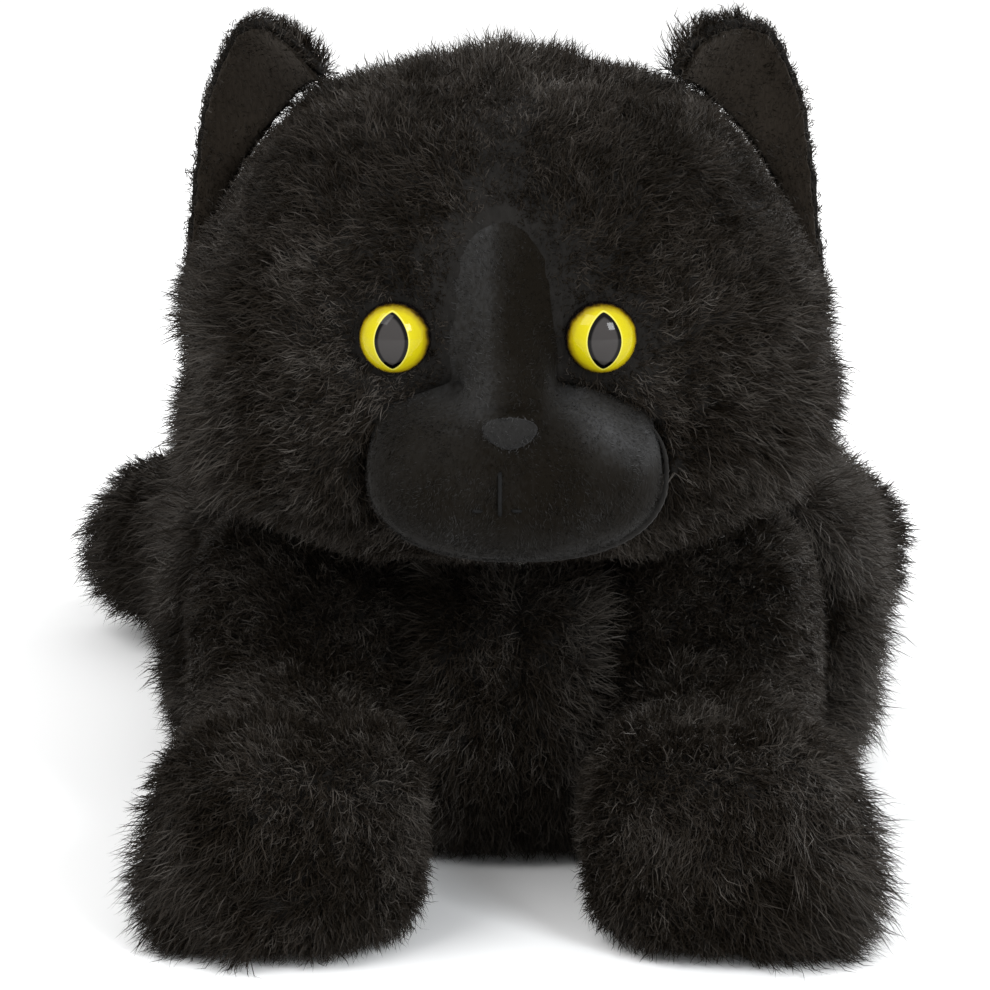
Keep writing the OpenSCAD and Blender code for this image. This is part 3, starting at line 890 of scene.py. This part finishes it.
def build_nose():
    """A low rounded triangle of velvet, wider above."""
    low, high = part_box("nose")
    half_w = (high.x - low.x) / 2 * 1.02
    half_h = (high.z - low.z) / 2 * 0.95
    depth = 1.8 * MM
    rings, sides = 14, 40
    bm = bmesh.new()
    grid = []
    place, normal = front_of(face_tree, NOSE.x, NOSE.z)
    centre = Vector((NOSE.x, place.y + 0.7 * MM, NOSE.z))
    for i in range(1, rings + 1):
        fall = math.radians(90 * i / rings)
        line = []
        for j in range(sides):
            turn = 2 * math.pi * j / sides
            x = math.cos(turn) * (1 + 0.22 * math.sin(turn))
            z = math.sin(turn) * (0.9 if math.sin(turn) > 0 else 1.15)
            reach = math.sin(fall)
            line.append(bm.verts.new(centre + Vector((half_w * x * reach,
                                                      -depth * math.cos(fall),
                                                      half_h * z * reach))))
        grid.append(line)
    close_dome(bm, bm.verts.new(centre + Vector((0, -depth, 0))), grid)
    obj = mesh_object("nose_pad", bm, NOSE_VELVET)
    finish_piece(obj, "head", ["nose"])
    return obj


nose = build_nose()


def build_mouth():
    """One upright stitch, and a short stitch on each side of it."""
    low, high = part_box("mouth_stitch")
    x = (low.x + high.x) / 2
    steps = 14
    points = []
    for k in range(steps + 1):
        z = low.z + (high.z - low.z) * k / steps
        place, normal = front_of(face_tree, x, z)
        sunk = 0.5 * MM if 0 < k < steps else -0.8 * MM
        points.append(place + Vector((0, -sunk, 0)))
    obj = tube("mouth_thread", points, 0.45 * MM, THREAD)
    finish_piece(obj, "head", ["mouth_stitch"])
    for name, step in (("left", -4.6), ("right", 3.4)):
        points = []
        for k in range(7):
            across = (k / 6 - 0.5) * 1.8 * MM
            place, normal = front_of(face_tree, x + step * MM + across, low.z + 1.2 * MM)
            arch = 0.45 * MM * math.sin(math.pi * k / 6) - 0.1 * MM
            points.append(place + Vector((0, -arch, 0)))
        knot = tube(f"whisker_stitch_{name}", points, 0.35 * MM, THREAD)
        finish_piece(knot, "head")


build_mouth()


def build_eye(side, sign):
    """A domed eye in its own frame, +Z out of the face, with a rolled rim."""
    low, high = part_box(f"eye_{side}")
    radius = 7.5 * MM
    yaw = math.radians(7) * sign
    out = Vector((math.sin(yaw), -math.cos(yaw), 0))
    dome = 5.8 * MM
    centre = Vector(((low.x + high.x) / 2, low.y + dome, (low.z + high.z) / 2))
    bm = bmesh.new()
    rings, sides = 26, 72
    grid = []
    profile = []
    for i in range(1, rings + 1):
        fall = math.radians(90 * i / rings)
        profile.append((radius * math.sin(fall) ** 0.96, dome * math.cos(fall)))
    # Then round the rim, in to the shank and back along it
    profile.append((radius, -0.8 * MM))
    profile.append((radius * 0.93, -1.3 * MM))
    profile.append((radius * 0.3, -1.4 * MM))
    profile.append((radius * 0.27, -9 * MM))
    for reach, height in profile:
        grid.append([bm.verts.new((reach * math.cos(2 * math.pi * j / sides),
                                   reach * math.sin(2 * math.pi * j / sides), height))
                     for j in range(sides)])
    close_dome(bm, bm.verts.new((0, 0, dome)), grid)
    obj = mesh_object(f"eye_dome_{side}", bm, iris_material(f"iris_{side}", radius))
    up = Vector((0, 0, 1))
    across = up.cross(out).normalized()
    turn = Matrix((across, up, out)).transposed().to_4x4()
    obj.matrix_world = Matrix.Translation(centre) @ turn
    finish_piece(obj, "head", [f"eye_{side}"])
    cover(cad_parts[f"eye_washer_{side}"], WASHER)
    return centre


eyes = {side: build_eye(side, sign) for side, sign in SIDES.items()}


# --- Ears --------------------------------------------------------------------

def point_ear(obj, sign):
    """Draws an ear in to a rounded point, and its foot down to the head."""
    co = get_points(obj.data)
    tip_x, draw_in = {-1: (-50, 0.56), 1: (46, 0.34)}[sign]
    gap, near_head, pull = 1.8 * MM, 6 * MM, 1.6
    foot, tip = HEAD.z + 36 * MM, co[:, 2].max()
    rise = np.clip((co[:, 2] - foot) / (tip - foot), 0, 1) ** 2
    co[:, 0] += (tip_x * MM - co[:, 0]) * draw_in * rise
    for k, point in enumerate(co):
        place, normal, face, away = head_tree.find_nearest(Vector(point), near_head)
        if place is not None:
            reach = max(away - gap, 0) * (1 - away / near_head) * pull
            co[k] += np.array((place - Vector(point)).normalized()) * min(reach, away)
    set_points(obj.data, co)


def build_ear(side, sign):
    back = remeshed(f"ear_fabric_{side}", [f"ear_back_{side}"], 1.1 * MM)
    smooth(back, 4)
    point_ear(back, sign)
    cover(back, BACKING)
    finish_piece(back, f"ear_{side}", [f"ear_back_{side}"])
    lining = remeshed(f"ear_velvet_{side}", [f"ear_lining_{side}"], 0.8 * MM)
    smooth(lining, 3)
    point_ear(lining, sign)
    cover(lining, EAR_VELVET)
    finish_piece(lining, f"ear_{side}", [f"ear_lining_{side}"])
    return back, lining


ears = {side: build_ear(side, sign) for side, sign in SIDES.items()}


# --- Closing stitches ---------------------------------------------------------

def build_closing_stitches():
    low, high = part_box("closing_stitches")
    tree = tree_of(torso)
    count = 9
    points = []
    for k in range(count * 8):
        y = low.y + (high.y - low.y) * k / (count * 8 - 1)
        x = BACK_X + 1.9 * MM * math.sin(k * math.pi / 4)
        hit = tree.ray_cast(Vector((x, y, 0.5)), Vector((0, 0, -1)))
        points.append(hit[0] + Vector((0, 0, 0.3 * MM)))
    obj = tube("closing_thread", points, 0.4 * MM, THREAD)
    finish_piece(obj, "torso", ["closing_stitches"])


build_closing_stitches()


# --- Where the pile grows ------------------------------------------------------

def side_of(co, x=0.0):
    return np.sign(co[:, 0] - x)


def vectors(x, y, z, like):
    out = np.zeros((len(like), 3))
    out[:, 0], out[:, 1], out[:, 2] = x, y, z
    return out


def comb_face(co, n):
    """Outward from the nose, lying flatter over the cheeks."""
    away = co - np.array([NOSE.x, NOSE.y, NOSE.z - 0.004])
    away[:, 2] *= 0.75
    away = unit(away)
    crown = np.clip((co[:, 2] - HEAD.z - 0.030) / 0.02, 0, 1)[:, None]
    return away + crown * vectors(0, 0.5, 0.9, co) + vectors(0.25 * side_of(co), 0, -0.12, co)


def crown_share(co):
    """1 behind the ear-to-ear seam on top of the head, 0 on the face."""
    behind = np.clip((co[:, 1] - (HEAD.y - 0.004)) / 0.012, 0, 1)
    above = np.clip((co[:, 2] - (HEAD.z + 0.018)) / 0.02, 0, 1)
    return behind * above


def velvet_mask(co):
    """True on the short pile and round the eyes, where no long pile grows."""
    centre, half = velvet_reach(co[:, 2])
    ahead = co[:, 1] < HEAD.y - 20 * MM
    strip = (np.abs(co[:, 0] - centre) < half - 0.5 * MM) & (co[:, 2] > BRIDGE_FOOT)
    oval = np.abs((co[:, 0] - MUZZLE.x) / MUZZLE_HALF_X) ** 2.3 \
        + np.abs((co[:, 2] - MUZZLE.z) / MUZZLE_HALF_Z) ** 2.3
    near_eye = np.zeros(len(co), bool)
    for eye in eyes.values():
        away = np.hypot(co[:, 0] - eye.x, co[:, 2] - eye.z)
        near_eye |= away < 8.1 * MM
    return (strip | (oval < 0.86) | near_eye) & ahead


# Length of the pile at the sides of the head, by height above the floor, in millimetres
CHEEK_HEIGHTS = (80, 88, 97, 109, 116, 124, 131, 140, 148)
CHEEK_LENGTHS = {"left": (6, 10, 13.5, 6.5, 7, 10.5, 9.5, 4, 3),
                 "right": (6, 9, 10.5, 12, 9, 9.5, 7.5, 4, 3)}


def face_length(co, n):
    """Velvet-short beside the velvet and the eyes, long at the cheeks and the crown."""
    centre, half = velvet_reach(np.maximum(co[:, 2], EYE_FOOT))
    beside = np.clip((np.abs(co[:, 0] - centre) - half) / (16 * MM), 0, 1)
    out = 1.6 + 3.4 * beside * beside * (3 - 2 * beside)
    left, right = (np.interp(co[:, 2] / MM, CHEEK_HEIGHTS, CHEEK_LENGTHS[side]) for side in SIDES)
    sides = np.where(co[:, 0] < HEAD.x, left, right)
    outer = np.clip((np.abs(co[:, 0] - HEAD.x) - 40 * MM) / (16 * MM), 0, 1)
    out = out + (sides - out) * outer
    back = np.clip((co[:, 1] - (HEAD.y - 30 * MM)) / (26 * MM), 0, 1) * (1 - outer)
    out = np.maximum(out, 6.0 * back)
    for eye in eyes.values():
        away = np.linalg.norm(co - np.array(eye), axis=1)
        out = np.minimum(out, 1.6 + 6.5 * np.maximum(away - 7.8 * MM, 0) / (14 * MM))
    beside_ear = np.exp(-((np.abs(co[:, 0] - HEAD.x) - 38 * MM) / (10 * MM)) ** 2)
    beside_ear *= np.clip((co[:, 2] - HEAD.z - 30 * MM) / (8 * MM), 0, 1)
    out = np.maximum(out, 7.5 * beside_ear)
    middle_share = np.exp(-((co[:, 0] - HEAD.x) / (17 * MM)) ** 2)
    return out + 4.5 * middle_share * crown_share(co)


def cheek_share(co):
    """1 on the fluffy lower cheeks, 0 elsewhere on the head."""
    outer = np.clip((np.abs(co[:, 0] - HEAD.x) - 34 * MM) / (20 * MM), 0, 1)
    return outer * np.exp(-((co[:, 2] - HEAD.z + 20 * MM) / (16 * MM)) ** 2)


def face_lift(co, n):
    return 0.45 + 0.3 * crown_share(co) + 0.35 * cheek_share(co)


def painted_face_light(co, n):
    """Painted light and shade on the head pile: the crown and the cheeks paler, the brow darker,
    and painted shade along the edges of the velvet strip.
    """
    centre, half = velvet_reach(np.maximum(co[:, 2], EYE_FOOT))
    # Painted shade in a band along each edge of the velvet strip, above the muzzle
    strip_edge_shade = np.exp(-np.abs(np.abs(co[:, 0] - centre) - half) / (4 * MM)) * (co[:, 2] > MUZZLE.z)
    brow = np.exp(-((co[:, 2] - HEAD.z - 33 * MM) / (14 * MM)) ** 2) * (1 - crown_share(co))
    return painted_top_light(co, n) + 0.45 * crown_share(co) - 0.28 * brow + 0.2 * (co[:, 2] < HEAD.z) \
        - 0.3 * strip_edge_shade


def ear_length(co, n):
    """Long tufts on the ear's inner side, short pile at its outer edge and in front."""
    outward = np.clip((np.abs(co[:, 0] - HEAD.x) - 36 * MM) / (22 * MM), 0, 1)
    return np.where(n[:, 1] < -0.3, 1.8, 8.0 - 6.0 * outward)


def foot_length(long, sign):
    """Longer, stringier pile low on the outer side of each hind foot."""
    def length(co, n):
        outer = np.clip(sign * n[:, 0] * 1.4 - 0.2 - 0.5 * n[:, 2], 0, 1)
        return belly_length(long)(co, n) + 4.5 * outer * (co[:, 2] > 0.008)
    return length


def paw_length(long, sign):
    """Longer tufts low on the outer side of each front paw."""
    def length(co, n):
        outer = np.clip(sign * n[:, 0] * 1.6, 0, 1) * np.clip((-co[:, 1] - 0.085) / 0.03, 0, 1)
        low = np.clip((0.040 - co[:, 2]) / 0.02, 0, 1)
        return belly_length(long)(co, n) + (9.0 + 2.0 * sign) * outer * low
    return length


def off_velvet(co, n):
    return np.ones(len(co)) * ~velvet_mask(co)


def flank_length(co, n):
    """The torso's pile, longer on the flanks, and most of all on the right one."""
    return belly_length(6.5)(co, n) + 3.5 * np.clip(np.abs(n[:, 0]) * 1.5 - 0.5, 0, 1) \
        + 3.0 * np.clip(n[:, 0] * 2 - 0.8, 0, 1)


def belly_length(long):
    """Short underneath, where the pile is pressed against the floor."""
    def length(co, n):
        under = np.clip((-n[:, 2] - 0.6) / 0.3, 0, 1) * (co[:, 2] < 0.02)
        return long * (1 - 0.72 * under)
    return length


def painted_top_light(co, n):
    """Painted light: paler pile where a surface looks up, darker where it looks down."""
    return 0.10 * np.clip(n[:, 2], 0, 1) - 0.06 * np.clip(-n[:, 2], 0, 1)


trees = {
    "torso": tree_of(torso),
    "head": face_tree,
    **{f"foreleg_{side}": tree_of(forelegs[side]) for side in SIDES},
    **{f"hindleg_{side}": tree_of(hindlegs[side]) for side in SIDES},
    "tail": tree_of(tail),
}


def others(*names):
    return [trees[name] for name in names]


grow("head_pile", "head", head, comb_face, face_length, 101,
     lift=face_lift, keep=off_velvet, others=others("torso"), light=painted_face_light)
# Painted light: the torso pile is paler on top and on the right flank, and darker underneath
grow("torso_pile", "torso", torso,
     lambda co, n: vectors(0.35 * side_of(co, BACK_X), 0.65, -0.75, co),
     flank_length, 201, per_mm2=3.4, curl=1.3, lift=0.6,
     others=others("head", "foreleg_left", "foreleg_right", "hindleg_left", "hindleg_right",
                   "tail"),
     light=lambda co, n: painted_top_light(co, n) + 0.7 * np.clip(n[:, 0] * 2, 0, 1))
for side, sign in SIDES.items():
    # Painted light: the forelegs' pile is paler on top and on right-facing sides, and darker
    # underneath
    grow(f"foreleg_pile_{side}", f"foreleg_{side}", forelegs[side],
         lambda co, n, sign=sign: vectors(0.75 * sign, -0.35, -0.55, co),
         paw_length(5.5, sign), 301 + sign, per_mm2=4.4, curl=1.1, lift=0.6,
         others=others("torso", "head"),
         light=lambda co, n: painted_top_light(co, n) + 0.35 * np.clip(n[:, 0] * 2 - 0.8, 0, 1))
    grow(f"hindleg_pile_{side}", f"hindleg_{side}", hindlegs[side],
         lambda co, n, sign=sign: vectors(0.9 * sign, 0.2, -0.3, co),
         foot_length(7.0, sign), 401 + sign, per_mm2=2.8, lift=0.55,
         others=others("torso", "tail"), light=painted_top_light)
    back, lining = ears[side]
    grow(f"ear_pile_{side}", f"ear_{side}", back,
         lambda co, n, sign=sign: vectors(-0.35 * sign, 0.25, 0.9, co),
         ear_length, 501 + sign, lift=0.4, light=lambda co, n: np.full(len(co), 0.08))
    grow(f"ear_nap_{side}", f"ear_{side}", lining,
         lambda co, n: vectors(0, 0, 1, co), 1.4, 511 + sign, per_mm2=5.0, width=0.2, lift=0.3,
         tuft=8, curl=0.2, gather=0.2, steps=3, tones=EAR_TONES, slot="ear_velvet",
         keep=lambda co, n: (n[:, 1] < 0).astype(float))
grow("tail_pile", "tail", tail, lambda co, n: vectors(-0.9, 0.3, -0.1, co), belly_length(8.0),
     601, per_mm2=3.0, lift=0.55,
     others=others("torso", "hindleg_left", "hindleg_right"), light=painted_top_light)

NAP = dict(per_mm2=6.0, width=0.18, lift=0.38, tuft=8, tuft_r=1.2, gather=0.3, curl=0.1,
           tones=VELVET_TONES, slot="velvet", steps=3, shades=(0.2, 0.2, 0.2, 0.2, 0.2),
           mixing=0.3)


def comb_velvet(co, n):
    """Up over the bridge, down and outward over the muzzle."""
    above = np.clip((co[:, 2] - NOSE.z) / (8 * MM), 0, 1)
    return vectors(0.9 * side_of(co, NOSE.x), 0, 2 * above - 0.6, co)


# The nap's tones follow the painted light and shade of the velvet
grow("velvet_nap", "head", muzzle, comb_velvet, 1.2, 701, light=painted_velvet_light,
     keep=lambda co, n: (co[:, 1] < HEAD.y - 30 * MM).astype(float), **NAP)
grow("nose_nap", "head", nose, lambda co, n: vectors(0, 0, -1, co), 0.8, 703,
     light=lambda co, n: np.full(len(co), 0.22), **NAP)

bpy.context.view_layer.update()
